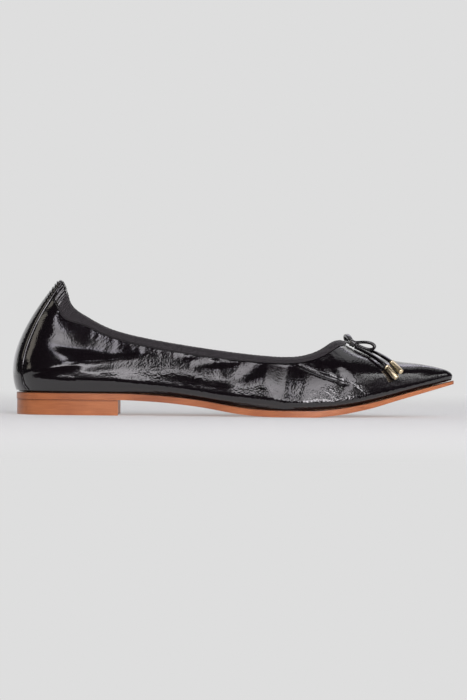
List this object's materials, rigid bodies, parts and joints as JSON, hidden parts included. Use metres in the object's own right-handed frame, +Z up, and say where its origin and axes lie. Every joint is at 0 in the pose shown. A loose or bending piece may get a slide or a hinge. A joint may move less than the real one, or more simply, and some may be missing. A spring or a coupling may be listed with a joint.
{
  "type": "pointed toe flat shoe",
  "caption": "Low women's slip-on shoe with a pointed toe, elastic topline, back strip, small bow with metal tips, thin sole and low heel block.",
  "frame": {"origin": "on the floor under the middle of the shoe's length and width", "axes": "+X from heel to toe, +Y towards the inner (big toe) side, +Z up"},
  "size_m": [0.2648, 0.0794, 0.0803],
  "materials": {
    "outsole": "tan sole leather, smooth, satin",
    "heel": "tan stacked leather, smooth, satin",
    "insole": "plain beige sock leather, matt",
    "upper": "black crinkled patent leather",
    "topline_binding": "black woven elastic, matt",
    "back_strip": "black crinkled patent leather",
    "bow_knot": "black patent leather",
    "bow_loop_near": "black patent leather",
    "bow_loop_far": "black patent leather",
    "bow_tail_upper": "black patent leather",
    "bow_tail_lower": "black patent leather",
    "bow_tip_upper": "pale gold plated tube, polished",
    "bow_tip_lower": "pale gold plated tube, polished"
  },
  "bodies": {
    "root": {"outsole": "outsole", "heel": "heel", "insole": "insole", "upper": "upper", "topline_binding": "topline_binding", "back_strip": "back_strip", "bow_knot": "bow_knot", "bow_loop_near": "bow_loop_near", "bow_loop_far": "bow_loop_far", "bow_tail_upper": "bow_tail_upper", "bow_tail_lower": "bow_tail_lower", "bow_tip_upper": "bow_tip_upper", "bow_tip_lower": "bow_tip_lower"}
  },
  "joints": []
}
